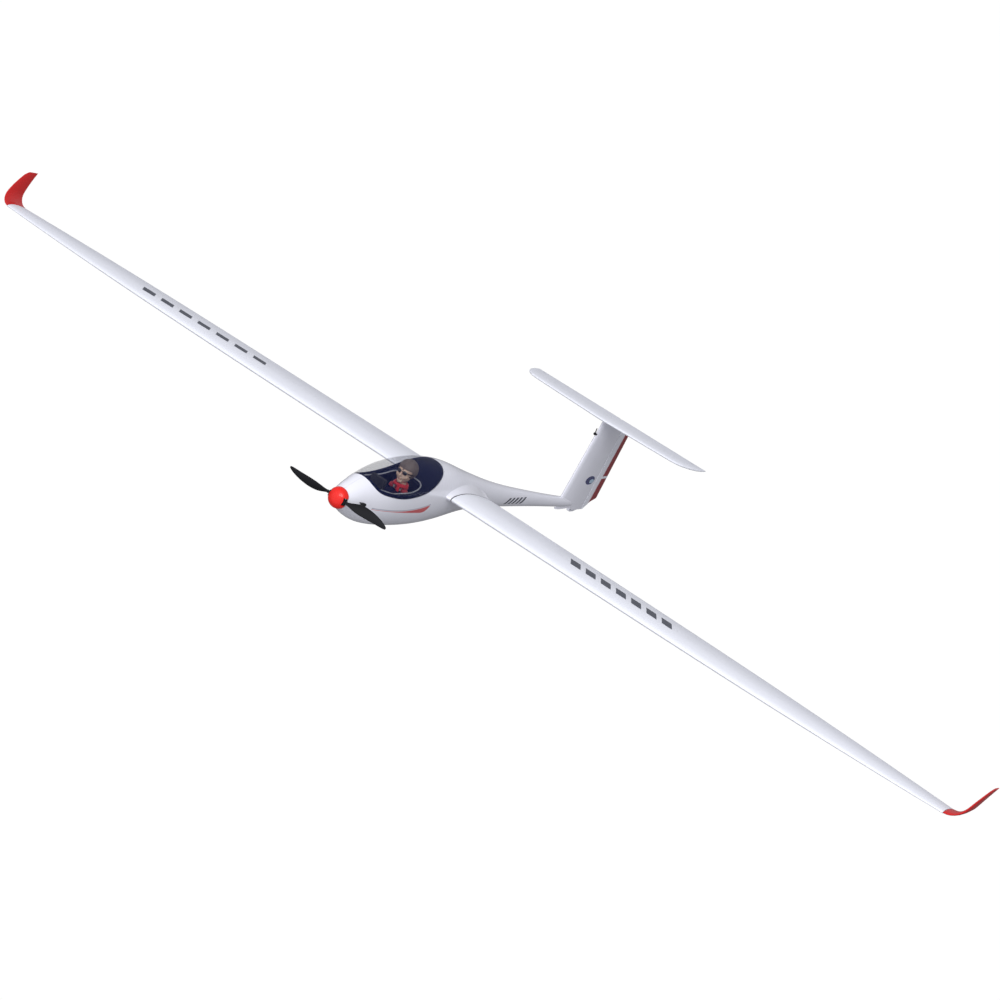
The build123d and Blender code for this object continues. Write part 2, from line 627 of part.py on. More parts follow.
def motor_firewall(room):
    plate_y = NOSE_Y + 4
    wall = room & box(-40, 40, plate_y, plate_y + 4, 0, 120)
    wall = wall - rod((0, plate_y - 1, NOSE_Z), (0, plate_y + 5, NOSE_Z), 4)
    for angle in (45, 135, 225, 315):
        x, z = 14.5 * math.cos(math.radians(angle)), 14.5 * math.sin(math.radians(angle))
        wall = wall - rod((x, plate_y - 1, NOSE_Z + z), (x, plate_y + 5, NOSE_Z + z), 1.6)
    return wall


def motor_stator():
    front = NOSE_Y + 8.05
    stator = joined(ring(front, front + 4, 12.5, 2.6), ring(front + 4, front + 22, 11, 2.6))
    for i in range(9):
        slot = Rot(Y=i * 40) * box(-1.1, 1.1, front + 6, front + 30, 5.5, 12)
        stator = stator - Pos(0, 0, NOSE_Z) * slot
    return stator


def motor_bell():
    """The outer can behind the firewall, in one with its shaft."""
    front, back = NOSE_Y + 13.5, NOSE_Y + 36
    bell = joined(ring(front, back, 14, 12.2), ring(back - 2.5, back, 13, 1.5),
                  rod((0, back, NOSE_Z), (0, SHAFT_TIP_Y, NOSE_Z), 2))
    for i in range(6):
        window = Rot(Y=i * 60) * box(-2.2, 2.2, back - 6, back + 2, 5.5, 10)
        bell = bell - Pos(0, 0, NOSE_Z) * window
    return bell


def propeller_yoke():
    hub = rod((0, HUB_FRONT_Y, NOSE_Z), (0, HUB_BACK_Y, NOSE_Z), 8)
    arms = box(-20, 20, PIVOT_Y - 4, PIVOT_Y + 3, NOSE_Z - 6, NOSE_Z + 6) & rod(
        (0, PIVOT_Y, NOSE_Z - 9), (0, PIVOT_Y, NOSE_Z + 9), 20)
    yoke = joined(hub, arms)
    for side in (-1, 1):
        x0, x1 = sorted((side * 10.5, side * 24))
        yoke = yoke - box(x0, x1, PIVOT_Y - 9, PIVOT_Y + 9, NOSE_Z - 3.2, NOSE_Z + 3.2)
        yoke = yoke - rod((side * PIVOT_X, PIVOT_Y, NOSE_Z - 9), (side * PIVOT_X, PIVOT_Y, NOSE_Z + 9), 1.3)
    return yoke - rod((0, HUB_FRONT_Y - 9, NOSE_Z), (0, HUB_BACK_Y + 9, NOSE_Z), 2.02)


def blade_screws():
    screws = []
    for side in (-1, 1):
        x = side * PIVOT_X
        screws.append(joined(rod((x, PIVOT_Y, NOSE_Z - 6.5), (x, PIVOT_Y, NOSE_Z + 6.6), 1.28),
                             rod((x, PIVOT_Y, NOSE_Z + 6.05), (x, PIVOT_Y, NOSE_Z + 7.4), 2.3)))
    return group(*screws)


def spinner():
    """A hollow round-nosed cap with a slot for each blade and a boss that bears on the yoke."""
    tip = SPINNER_BASE_Y - SPINNER_LENGTH
    wall = 1.5

    def dome(radius, length):
        curve = Spline((radius, 0), (radius * 0.707, length * 0.707), (0, length), tangents=[(0, 1), (-1, 0)])
        edge = [curve, Line((0, length), (0, 0)), Line((0, 0), (radius, 0))]
        turned = revolve(Plane.XZ * make_face(edge), Axis.Z)
        return Pos(0, SPINNER_BASE_Y, NOSE_Z) * Rot(X=90) * turned

    cap = dome(SPINNER_R, SPINNER_LENGTH) - dome(SPINNER_R - wall, SPINNER_LENGTH - wall)
    boss = rod((0, tip + 1, NOSE_Z), (0, HUB_FRONT_Y - 0.05, NOSE_Z), 5)
    cap = joined(cap, boss) - rod((0, SHAFT_TIP_Y - 0.5, NOSE_Z), (0, HUB_BACK_Y, NOSE_Z), 2.1)
    for side in (-1, 1):
        x0, x1 = sorted((side * 8, side * 30))
        cap = cap - box(x0, x1, PIVOT_Y - 6.5, SPINNER_BASE_Y + 4, NOSE_Z - 7.6, NOSE_Z + 7.6)
    return cap


def blade():
    """The left blade, open: it swings back about its screw."""
    wires = []
    for x, chord, thick, pitch, sweep in BLADE_SECTIONS:
        c, s = math.cos(math.radians(pitch)), math.sin(math.radians(pitch))
        points = []
        for i in range(14):
            angle = 2 * math.pi * i / 14
            u = chord / 2 * math.cos(angle)
            v = thick / 2 * math.sin(angle) + 0.04 * chord * (1 - (2 * u / chord) ** 2)
            points.append((x, PIVOT_Y + u * s - v * c, NOSE_Z + sweep + u * c + v * s))
        wires.append(Wire([Spline(*points, periodic=True)]))
    airfoil = Solid.make_loft(wires)
    eye = rod((PIVOT_X, PIVOT_Y, NOSE_Z - 3), (PIVOT_X, PIVOT_Y, NOSE_Z + 3), 4.2)
    neck = box(PIVOT_X, 27, PIVOT_Y - 2.2, PIVOT_Y + 2.2, NOSE_Z - 2.6, NOSE_Z + 2.6)
    hole = rod((PIVOT_X, PIVOT_Y, NOSE_Z - 9), (PIVOT_X, PIVOT_Y, NOSE_Z + 9), 1.36)
    return joined(airfoil, neck, eye) - hole


def nose_scoop(body):
    """A small open scoop on the left cheek of the nose, sinking into it towards the back."""
    x, z, front, back = 31.5, 60, -255, -236
    scoop = rod((x, front, z), (x, back, z), 4.3) - rod((x, front - 1, z), (x, front + 9, z), 3.1)
    scoop = scoop - body
    return max(scoop.solids(), key=lambda solid: solid.volume)


# ---- Fittings inside the fuselage ----

def belly_wheel():
    """Rounded tyre and flat hub in one moulding, turning on its axle."""
    half = WHEEL_WIDTH / 2
    edge = [(AXLE_R + 0.1, half), (12, half), (13, half - 1.2), (14.5, half - 1.2), (15.5, half),
            (WHEEL_R - 2.6, half), (WHEEL_R - 0.7, half - 1.8), (WHEEL_R, half - 3.6)]
    points = edge + [(r, -w) for r, w in reversed(edge)]
    turned = revolve(make_face(Polyline(points, close=True)), Axis.Y)
    return Pos(0, 0, WHEEL_R) * Rot(Z=-90) * turned


def wheel_bracket(room):
    cheeks = [box(x, x + 2, -13, 13, 8, 42) for x in (-8.6, 6.6)]
    bracket = joined(*cheeks, box(-8.6, 8.6, -13, 13, 40, 42),
                     box(-18, -6.6, -13, 13, 8, 13.4), box(6.6, 18, -13, 13, 8, 13.4))
    return (bracket & room) - rod((-30, 0, WHEEL_R), (30, 0, WHEEL_R), AXLE_R + 0.02)


def joiner_tube():
    tube = rod((-JOINER_REACH, JOINER_Y, JOINER_Z), (JOINER_REACH, JOINER_Y, JOINER_Z), JOINER_R)
    end = JOINER_REACH + 1
    return tube - rod((-end, JOINER_Y, JOINER_Z), (end, JOINER_Y, JOINER_Z), JOINER_R - 1)


def wheel_axle():
    return rod((-10.5, 0, WHEEL_R), (10.5, 0, WHEEL_R), AXLE_R)


def battery_tray(room):
    tray = room & box(-60, 60, -232, -50, 24, 27)
    for y in (-185, -150, -115):
        for x in (-24, 24):
            tray = tray - box(x - 2, x + 2, y - 9, y + 9, 20, 30)
    return tray


def rounded_block(x0, x1, y0, y1, z0, z1, radius):
    return fillet(box(x0, x1, y0, y1, z0, z1).edges().filter_by(Axis.Y), radius)


def stabiliser_screws():
    """Two screws down through the stabiliser into the fin."""
    screws = []
    for y in (738, 758):
        top = STAB_Z + stab_half(y) - 0.6
        screws.append(joined(rod((0, y, 246), (0, y, top), 1.4), rod((0, y, top - 1.4), (0, y, top), 2.8)))
    return group(*screws)


def stab_screw_holes():
    holes = []
    for y in (738, 758):
        top = STAB_Z + stab_half(y) - 0.6
        head = rod((0, y, top - 1.45), (0, y, top + 4), 2.9)
        holes.append(joined(rod((0, y, 245), (0, y, top + 3), 1.45), head))
    return joined(*holes)


# ---- Assembly ----

def build():
    body, cavity = fuselage_body(), fuselage_body(SHELL)
    room = fuselage_body(SHELL + 0.1)
    wing = left_wing()
    stab_whole = stab_blank()
    fin, rudder = fin_and_rudder()
    screw_holes = stab_screw_holes()
    stab, elevator = stabiliser_and_elevator(stab_whole)
    stab = stab - screw_holes
    fin = fin - stab_whole - screw_holes

    e_arm, e_pushrod, e_horn, e_servo, e_bay = elevator_linkage()
    r_arm, r_pushrod, r_horn, r_servo, r_slot = rudder_linkage()
    lugs = rudder_lugs()
    left_shell, right_shell = fuselage_shells(body, cavity, fin, [e_bay, r_slot, *lugs])
    glass, frame, floor = canopy_pieces(body)
    left_blade = blade()
    shells = joined(left_shell, right_shell)

    nodes = {
        "fuselage_left_shell": left_shell,
        "fuselage_right_shell": right_shell,
        "nose_scoop": nose_scoop(body),
        "fin_probe": fin_probe() - shells,
        "tail_skid": tail_skid() - fin_blank(),
        "canopy_glass": glass,
        "canopy_frame": frame,
        "cockpit_floor": floor,
        "instrument_panel": instrument_panel(),
        "pilot_figure": pilot_figure(),
        "spinner": spinner(),
        "propeller_yoke": propeller_yoke(),
        "blade_screws": blade_screws(),
        "left_blade": left_blade,
        "right_blade": Pos(0, 0, NOSE_Z) * Rot(Y=180) * Pos(0, 0, -NOSE_Z) * left_blade,
        "motor_firewall": motor_firewall(room),
        "motor_stator": motor_stator(),
        "motor_bell": motor_bell(),
        "battery_tray": battery_tray(room),
        "battery_pack": rounded_block(-17.5, 17.5, -200, -92, 27.05, 53, 3),
        "speed_controller": rounded_block(-13, 13, -229, -203, 27.05, 37, 1.5),
        "radio_receiver": rounded_block(-13, 13, -88, -52, 27.05, 41, 1.5),
        "belly_wheel": belly_wheel(),
        "wheel_axle": wheel_axle(),
        "wheel_bracket": wheel_bracket(room),
        "wing_joiner_tube": joiner_tube(),
        "wing_root_ribs": group(root_rib(), mirrored(root_rib())),
        "wing_servos": group(*[shape for name in ("flap_servo", "aileron_servo")
                               for shape in (wing[name], mirrored(wing[name]))]),
        "tail_servos": group(e_servo, r_servo),
        "left_winglet": winglet(),
        "right_winglet": mirrored(winglet()),
        "stabiliser_screws": stabiliser_screws(),
        "rudder_hinge_lugs": group(*lugs),
        "horizontal_stabiliser": stab,
        "elevator": elevator - e_horn,
        "elevator_horn": e_horn,
        "elevator_pushrod": e_pushrod,
        "elevator_servo_arm": e_arm,
        "rudder": rudder - r_horn,
        "rudder_horn": r_horn,
        "rudder_pushrod": r_pushrod,
        "rudder_servo_arm": r_arm,
    }
    for name, shape in wing.items():
        if not name.endswith("_servo"):
            nodes["left_" + name] = shape
            nodes["right_" + name] = mirrored(shape)
    return nodes


os.makedirs("parts", exist_ok=True)
for node, shape in build().items():
    export_step(shape, f"parts/{node}.step")
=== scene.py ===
"""Looks of the powered model sailplane: camera, light, finishes, markings and the detailed pilot."""
import math
import bmesh
import bpy
from mathutils import Matrix, Vector
from mathutils.bvhtree import BVHTree


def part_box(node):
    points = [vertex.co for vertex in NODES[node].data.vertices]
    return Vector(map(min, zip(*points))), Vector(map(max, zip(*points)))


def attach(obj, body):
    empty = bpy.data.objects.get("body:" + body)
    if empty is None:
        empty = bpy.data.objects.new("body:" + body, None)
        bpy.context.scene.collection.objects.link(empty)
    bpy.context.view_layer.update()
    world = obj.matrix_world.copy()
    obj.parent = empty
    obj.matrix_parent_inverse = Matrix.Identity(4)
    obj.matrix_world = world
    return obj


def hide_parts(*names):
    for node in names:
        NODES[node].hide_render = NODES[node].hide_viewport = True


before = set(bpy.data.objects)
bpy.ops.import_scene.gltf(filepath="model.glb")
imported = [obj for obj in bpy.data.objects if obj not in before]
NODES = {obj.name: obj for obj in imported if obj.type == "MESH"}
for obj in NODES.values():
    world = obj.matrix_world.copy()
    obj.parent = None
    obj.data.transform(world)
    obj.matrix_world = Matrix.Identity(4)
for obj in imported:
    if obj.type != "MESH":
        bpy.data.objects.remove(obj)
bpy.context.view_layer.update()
MM = 0.001

# ---- Camera, light and stage ----

CAMERA_PLACE = (2.3328, -5.0852, 1.3832)
CAMERA_FORWARD = (-0.38107, 0.89870, -0.21707)
CAMERA_ROLL = 27.55             # degrees
CAMERA_LENS = 104.05            # mm on a 36 mm sensor
FLOOR_DROP = 4.0                # the model is in flight, so the floor lies well below it
STAGE_REACH = 400.0
ABOVE_LIGHT, BELOW_LIGHT, FRONT_LIGHT, SOFTBOX_POWER = 0.34, 0.19, 0.90, 80


def make_camera():
    data = bpy.data.cameras.new("view")
    data.lens = CAMERA_LENS
    data.sensor_width = 36
    data.clip_end = 3 * STAGE_REACH
    camera = bpy.data.objects.new("view", data)
    turn = Vector(CAMERA_FORWARD).to_track_quat("-Z", "Y").to_matrix().to_4x4()
    roll = Matrix.Rotation(math.radians(CAMERA_ROLL), 4, "Z")
    camera.matrix_world = Matrix.Translation(CAMERA_PLACE) @ turn @ roll
    bpy.context.scene.collection.objects.link(camera)
    bpy.context.scene.camera = camera


def seen_only(obj):
    """A backdrop that the camera sees and that doesn't light the model."""
    obj.visible_diffuse = False
    obj.visible_glossy = False
    obj.visible_transmission = False
    obj.visible_shadow = False


def make_stage():
    pale = bpy.data.materials.new("pale_backdrop")
    pale.use_nodes = True
    tree = pale.node_tree
    tree.nodes.clear()
    glow = tree.nodes.new("ShaderNodeEmission")
    glow.inputs["Color"].default_value = (1, 1, 1, 1)
    glow.inputs["Strength"].default_value = 1.02
    out = tree.nodes.new("ShaderNodeOutputMaterial")
    tree.links.new(glow.outputs[0], out.inputs["Surface"])
    bpy.ops.mesh.primitive_plane_add(size=2 * STAGE_REACH, location=(0, 0, -FLOOR_DROP))
    floor = bpy.context.object
    floor.name = "floor"
    bpy.ops.mesh.primitive_uv_sphere_add(radius=0.98 * STAGE_REACH, segments=48, ring_count=24)
    dome = bpy.context.object
    dome.name = "backdrop"
    for obj in (floor, dome):
        obj.data.materials.append(pale)
        seen_only(obj)


def make_light():
    """A soft room that is brightest in front of the nose, paler above and dim below, and one softbox."""
    world = bpy.data.worlds.new("soft_room")
    bpy.context.scene.world = world
    world.use_nodes = True
    n = Nodes(world.node_tree)
    out = n.tree.nodes["World Output"]
    back = n.tree.nodes["Background"]
    place = n.node("ShaderNodeTexCoord").outputs["Generated"]
    split = n.node("ShaderNodeSeparateXYZ", Vector=place)
    y, z = split.outputs["Y"], split.outputs["Z"]
    above = n.step(z, 0.15, 0.45)
    front = n.step(n.math("MULTIPLY", y, -1.0), 0.50, 0.42)
    level = n.math("ADD", n.math("MULTIPLY", above, ABOVE_LIGHT), BELOW_LIGHT)
    level = n.math("ADD", level, n.math("MULTIPLY", front, FRONT_LIGHT))
    back.inputs["Color"].default_value = (0.94, 0.945, 1.0, 1)
    n.link(level, back.inputs["Strength"])
    n.link(back.outputs[0], out.inputs["Surface"])
    lamp = bpy.data.lights.new("softbox", "AREA")
    lamp.shape = "RECTANGLE"
    lamp.size, lamp.size_y = 2.4, 1.6
    lamp.energy = SOFTBOX_POWER
    box = bpy.data.objects.new("softbox", lamp)
    box.location = (1.2, -3.2, 2.6)
    box.rotation_euler = (Vector((0, 0, 0.1)) - Vector(box.location)).to_track_quat("-Z", "Y").to_euler()
    bpy.context.scene.collection.objects.link(box)


# ---- Node helpers ----

class Nodes:
    """Short calls for building a node tree."""

    def __init__(self, tree):
        self.tree = tree

    def link(self, source, target):
        self.tree.links.new(source, target)

    def feed(self, socket, value):
        if isinstance(value, bpy.types.NodeSocket):
            self.link(value, socket)
        else:
            socket.default_value = value

    def node(self, kind, settings=None, **inputs):
        made = self.tree.nodes.new(kind)
        for key, value in (settings or {}).items():
            setattr(made, key, value)
        for key, value in inputs.items():
            self.feed(made.inputs[key.replace("_", " ")], value)
        return made

    def math(self, operation, a, b=0.0, clamp=False):
        made = self.node("ShaderNodeMath", {"operation": operation, "use_clamp": clamp})
        self.feed(made.inputs[0], a)
        self.feed(made.inputs[1], b)
        return made.outputs[0]

    def product(self, *values):
        result = values[0]
        for value in values[1:]:
            result = self.math("MULTIPLY", result, value)
        return result

    def largest(self, *values):
        result = values[0]
        for value in values[1:]:
            result = self.math("MAXIMUM", result, value)
        return result

    def step(self, value, edge, soft):
        """0 below an edge and 1 above it, with a ramp that is soft wide on both sides."""
        made = self.node("ShaderNodeMapRange", {"interpolation_type": "SMOOTHSTEP"}, Value=value)
        for key, at in (("From Min", -soft), ("From Max", soft)):
            if isinstance(edge, bpy.types.NodeSocket):
                self.link(self.math("ADD", edge, at), made.inputs[key])
            else:
                made.inputs[key].default_value = edge + at
        return made.outputs[0]

    def band(self, value, low, high, soft=0.00025):
        """1 between two edges."""
        return self.product(self.step(value, low, soft), self.below(value, high, soft))

    def below(self, value, edge, soft):
        """1 below an edge and 0 above it."""
        return self.math("SUBTRACT", 1.0, self.step(value, edge, soft))

    def mix(self, share, a, b):
        made = self.node("ShaderNodeMix", {"data_type": "RGBA"})
        self.feed(made.inputs[0], share)
        self.feed(made.inputs[6], a)
        self.feed(made.inputs[7], b)
        return made.outputs[2]

    def place(self):
        """Position in the piece's own frame, and its x, y and z."""
        where = self.node("ShaderNodeTexCoord").outputs["Object"]
        split = self.node("ShaderNodeSeparateXYZ", Vector=where)
        return where, split.outputs["X"], split.outputs["Y"], split.outputs["Z"]

    def noise(self, where, scale, detail=3.0, roughness=0.55):
        return self.node("ShaderNodeTexNoise", Vector=where, Scale=scale, Detail=detail,
                         Roughness=roughness).outputs["Fac"]

    def cells(self, where, scale):
        return self.node("ShaderNodeTexVoronoi", Vector=where, Scale=scale).outputs["Distance"]

    def spread(self, value, low, high):
        """A 0 to 1 value carried to another range."""
        return self.node("ShaderNodeMapRange", Value=value, To_Min=low, To_Max=high).outputs[0]

    def bump(self, height, strength, distance):
        return self.node("ShaderNodeBump", Height=height, Strength=strength, Distance=distance).outputs[0]


def material(name, roughness=0.5, **fixed):
    """A Principled material, its shader and its node helper."""
    made = bpy.data.materials.new(name)
    made.use_nodes = True
    shader = made.node_tree.nodes["Principled BSDF"]
    shader.inputs["Roughness"].default_value = roughness
    for key, value in fixed.items():
        shader.inputs[key.replace("_", " ")].default_value = value
    return made, shader, Nodes(made.node_tree)


def rgb(r, g, b):
    return (r, g, b, 1)


# ---- Finishes ----

WHITE_GLOSS, WHITE_FOAM = rgb(0.85, 0.855, 0.92), rgb(0.83, 0.845, 0.91)
# the second red is the rudder's red paint, darkened with painted shade
RED, RED_IN_PAINTED_SHADE = rgb(0.60, 0.012, 0.012), rgb(0.26, 0.008, 0.014)
NAVY, INK = rgb(0.006, 0.014, 0.13), rgb(0.022, 0.028, 0.05)
GREY_LINE = rgb(0.28, 0.30, 0.38)

# generic markings, in metres in the frame's own axes
SWOOSH_FRONT, SWOOSH_BACK, SWOOSH_FOOT = -0.216, -0.010, 0.0535
# bars: start, end, front or lower edge, back or upper edge
BOOM_BARS = (0.402, 0.502, 0.0560, 0.0705)
# ovals on the fin: centre y and z, half length, half height
FIN_OVAL, FIN_GLINT = (0.8045, 0.1108, 0.0240, 0.0110), (0.8150, 0.1085, 0.0120, 0.0052)
# bars on the wings, with drift per metre of span and lean
LEFT_BARS = (0.322, 0.585, 0.094, 0.134, 0.0, -0.5)
RIGHT_BARS = (0.480, 0.835, 0.098, 0.122, 0.04, 0.5)


def plain(name, color, roughness, grain=900.0, depth=0.00008, tint=0.12, **fixed):
    """A moulded or machined finish: uneven colour and gloss, and a fine grain."""
    made, shader, n = material(name, roughness, **fixed)
    where, _, _, _ = n.place()
    cloud = n.noise(where, 60.0)
    darker = tuple(c * (1 - tint) for c in color[:3]) + (1,)
    n.link(n.mix(cloud, darker, color), shader.inputs["Base Color"])
    gloss = n.spread(n.noise(where, 140.0), roughness * 0.85, min(1.0, roughness * 1.2))
    n.link(gloss, shader.inputs["Roughness"])
    n.link(n.bump(n.noise(where, grain, 2.0), 0.5, depth), shader.inputs["Normal"])
    return made


def slanted_bars(n, along, across, start, end, low, high, count, lean, duty=0.7):
    """Generic marking: a row of slanted bars between two lines."""
    rise = n.math("SUBTRACT", across, 0.5 * (low + high))
    leaning = n.math("SUBTRACT", along, n.math("MULTIPLY", rise, lean))
    turn = n.math("FRACT", n.math("DIVIDE", n.math("SUBTRACT", leaning, start), (end - start) / count))
    return n.product(n.band(turn, 0.04, duty, 0.02), n.band(across, low, high), n.band(leaning, start, end))


def fuselage_finish():
    """White gelcoat with the swoosh on the pod, the bars on the boom and the oval on the fin."""
    made, shader, n = material("white_gelcoat", 0.24, Coat_Weight=0.6, Coat_Roughness=0.06)
    where, x, y, z = n.place()
    side = n.math("ABSOLUTE", x)
    color = n.mix(n.noise(where, 9.0), rgb(0.81, 0.815, 0.885), WHITE_GLOSS)

    run = n.node("ShaderNodeMapRange", Value=y, From_Min=SWOOSH_FRONT, From_Max=-0.014).outputs[0]
    flick = n.node("ShaderNodeMapRange", Value=y, From_Min=-0.075, From_Max=SWOOSH_BACK).outputs[0]
    low = n.math("ADD", SWOOSH_FOOT, n.math("MULTIPLY", n.math("POWER", flick, 8.0), 0.019))
    high = n.math("ADD", SWOOSH_FOOT + 0.0009, n.math("MULTIPLY", n.math("POWER", run, 3.2), 0.0168))
    facing = n.node("ShaderNodeSeparateXYZ", Vector=n.node("ShaderNodeNewGeometry").outputs["Normal"])
    outside = n.step(n.math("MULTIPLY", x, facing.outputs["X"]), 0.001, 0.001)
    within = n.product(n.band(y, SWOOSH_FRONT, SWOOSH_BACK), n.step(side, 0.02, 0.001), outside)
    red = n.product(within, n.band(z, low, high, 0.0003))
    above = n.product(within, n.band(z, n.math("ADD", high, 0.0010), n.math("ADD", high, 0.0028), 0.0003))
    color = n.mix(n.product(above, 0.75), color, GREY_LINE)
    color = n.mix(n.product(red, 0.9), color, RED)

    flank = n.step(side, 0.004, 0.001)
    bars = n.product(flank, slanted_bars(n, y, z, *BOOM_BARS, 5, 1.5, 0.62))
    color = n.mix(n.product(bars, 0.97), color, INK)

    color = n.mix(oval_mark(n, y, z, *FIN_OVAL), color, NAVY)
    color = n.mix(oval_mark(n, y, z, *FIN_GLINT), color, rgb(0.42, 0.58, 0.72))

    seam = n.product(n.below(side, 0.00022, 0.00012), n.below(z, 0.155, 0.001))
    color = n.mix(n.product(seam, 0.45), color, rgb(0.3, 0.31, 0.34))
    n.link(color, shader.inputs["Base Color"])
    n.link(n.spread(n.noise(where, 30.0), 0.2, 0.3), shader.inputs["Roughness"])
    n.link(n.bump(n.noise(where, 260.0, 1.0), 0.25, 0.00012), shader.inputs["Normal"])
    return made


def oval_mark(n, a, b, at_a, at_b, half_a, half_b):
    """1 inside an oval."""
    da = n.math("DIVIDE", n.math("SUBTRACT", a, at_a), half_a)
    db = n.math("DIVIDE", n.math("SUBTRACT", b, at_b), half_b)
    away = n.math("SQRT", n.math("ADD", n.math("MULTIPLY", da, da), n.math("MULTIPLY", db, db)))
    return n.below(away, 1.0, 0.04)


def foam_base(name, roughness=0.42):
    """Moulded bead foam: a faint cell pattern, smooth to the touch."""
    made, shader, n = material(name, roughness, Coat_Weight=0.12, Coat_Roughness=0.3)
    where, x, y, z = n.place()
    beads = n.cells(where, 330.0)
    color = n.mix(n.noise(where, 14.0), rgb(0.81, 0.825, 0.875), WHITE_FOAM)
    color = n.mix(n.product(n.step(beads, 0.5, 0.25), 0.06), color, rgb(0.6, 0.62, 0.68))
    n.link(n.spread(n.noise(where, 40.0), roughness * 0.9, roughness * 1.15), shader.inputs["Roughness"])
    n.link(n.bump(n.math("SUBTRACT", 1.0, beads), 0.35, 0.00018), shader.inputs["Normal"])
    return made, shader, n, (x, y, z), color


def foam_finish():
    made, shader, n, _, color = foam_base("white_foam")
    n.link(color, shader.inputs["Base Color"])
    return made


def wing_finish(name, start, end, low, high, slope, lean):
    """Foam with a row of slanted bars on top, over a stretch of the span."""
    made, shader, n, (x, y, z), color = foam_base(name)
    reach = n.math("ABSOLUTE", x)
    follow = n.math("ADD", y, n.math("MULTIPLY", n.math("SUBTRACT", reach, start), slope))
    top = n.step(z, 0.0895, 0.0008)
    bars = slanted_bars(n, reach, follow, start, end, low, high, 7, lean)
    color = n.mix(n.product(bars, top, 0.97), color, INK)
    n.link(color, shader.inputs["Base Color"])
    return made


def rudder_finish():
    """Foam with a red rear edge darkened with painted shade, broken once, and a thin pale red line ahead of
    it.
    """
    made, shader, n, (_, y, z), color = foam_base("rudder_foam")
    broken = n.math("SUBTRACT", 1.0, n.band(z, 0.1135, 0.1195))
    slant = n.math("SUBTRACT", y, n.math("MULTIPLY", n.math("SUBTRACT", z, 0.056), 0.045))
    red = n.product(n.step(slant, 0.8690, 0.0003), broken)
    line = n.product(n.band(slant, 0.8655, 0.8672), broken)
    color = n.mix(n.product(line, 0.5), color, rgb(0.62, 0.2, 0.2))
    # the rudder's red paint, darkened with painted shade
    color = n.mix(red, color, RED_IN_PAINTED_SHADE)
    n.link(color, shader.inputs["Base Color"])
    return made


def canopy_finish():
    """Clear blue-black glazing."""
    made, shader, n = material("tinted_glazing", 0.03, Alpha=0.17, Specular_IOR_Level=0.4)
    where, _, _, _ = n.place()
    color = n.mix(n.noise(where, 20.0), rgb(0.003, 0.007, 0.05), rgb(0.005, 0.011, 0.07))
    n.link(color, shader.inputs["Base Color"])
    n.link(n.bump(n.noise(where, 25.0, 1.0), 0.1, 0.0002), shader.inputs["Normal"])
    return made


def blade_finish():
    """Black moulded nylon, a little worn in scattered spots."""
    made, shader, n = material("black_nylon", 0.45, Specular_IOR_Level=0.2)
    where, _, _, _ = n.place()
    wear = n.step(n.noise(where, 420.0, 4.0), 0.72, 0.05)
    color = n.mix(n.product(wear, 0.2), rgb(0.005, 0.005, 0.007), rgb(0.03, 0.03, 0.034))
    n.link(color, shader.inputs["Base Color"])
    n.link(n.bump(n.noise(where, 700.0, 2.0), 0.4, 0.0001), shader.inputs["Normal"])
    return made


def carbon_finish():
    made, shader, n = material("woven_carbon", 0.3, Coat_Weight=0.5)
    where, _, _, _ = n.place()
    check = n.node("ShaderNodeTexChecker", Vector=where, Scale=700.0).outputs["Fac"]
    n.link(n.mix(check, rgb(0.012, 0.012, 0.014), rgb(0.035, 0.035, 0.038)), shader.inputs["Base Color"])
    return made


def plywood_finish():
    made, shader, n = material("birch_ply", 0.55)
    where, _, _, _ = n.place()
    grain = n.node("ShaderNodeTexWave", {"bands_direction": "X"}, Vector=where, Scale=60.0, Distortion=6.0,
                   Detail=3.0).outputs["Fac"]
    n.link(n.mix(grain, rgb(0.52, 0.36, 0.19), rgb(0.68, 0.5, 0.3)), shader.inputs["Base Color"])
    n.link(n.bump(grain, 0.3, 0.0001), shader.inputs["Normal"])
    return made


def servo_finish():
    """Dark blue case, a little uneven in tone."""
    made, shader, n = material("servo_case", 0.32)
    where, _, _, _ = n.place()
    color = n.mix(n.noise(where, 90.0), rgb(0.008, 0.018, 0.07), rgb(0.015, 0.03, 0.1))
    n.link(color, shader.inputs["Base Color"])
    n.link(n.bump(n.noise(where, 800.0, 2.0), 0.3, 0.00008), shader.inputs["Normal"])
    return made


def skin_finish(lips_at):
    """Painted skin, warmer at the lips."""
    made, shader, n = material("painted_skin", 0.5, Subsurface_Weight=0.08)
    shader.inputs["Subsurface Radius"].default_value = (0.004, 0.002, 0.001)
    where, x, _, z = n.place()
    color = n.mix(n.noise(where, 300.0), rgb(0.72, 0.50, 0.37), rgb(0.82, 0.60, 0.46))
    wide = n.math("SUBTRACT", 1.0, n.step(n.math("ABSOLUTE", x), 3.6 * MM, 0.6 * MM))
    lips = n.product(n.band(z, lips_at - 1.5 * MM, lips_at + 1.2 * MM, 0.3 * MM), wide)
    color = n.mix(n.product(lips, 0.55), color, rgb(0.55, 0.22, 0.17))
    n.link(color, shader.inputs["Base Color"])
    n.link(n.bump(n.noise(where, 900.0, 2.0), 0.2, 0.0001), shader.inputs["Normal"])
    return made


def leather_finish():
    made, shader, n = material("worn_leather", 0.55)
    where, _, _, _ = n.place()
    creases = n.cells(where, 700.0)
    color = n.mix(n.noise(where, 160.0), rgb(0.115, 0.088, 0.078), rgb(0.22, 0.175, 0.155))
    n.link(color, shader.inputs["Base Color"])
    n.link(n.bump(creases, 0.6, 0.00025), shader.inputs["Normal"])
    return made


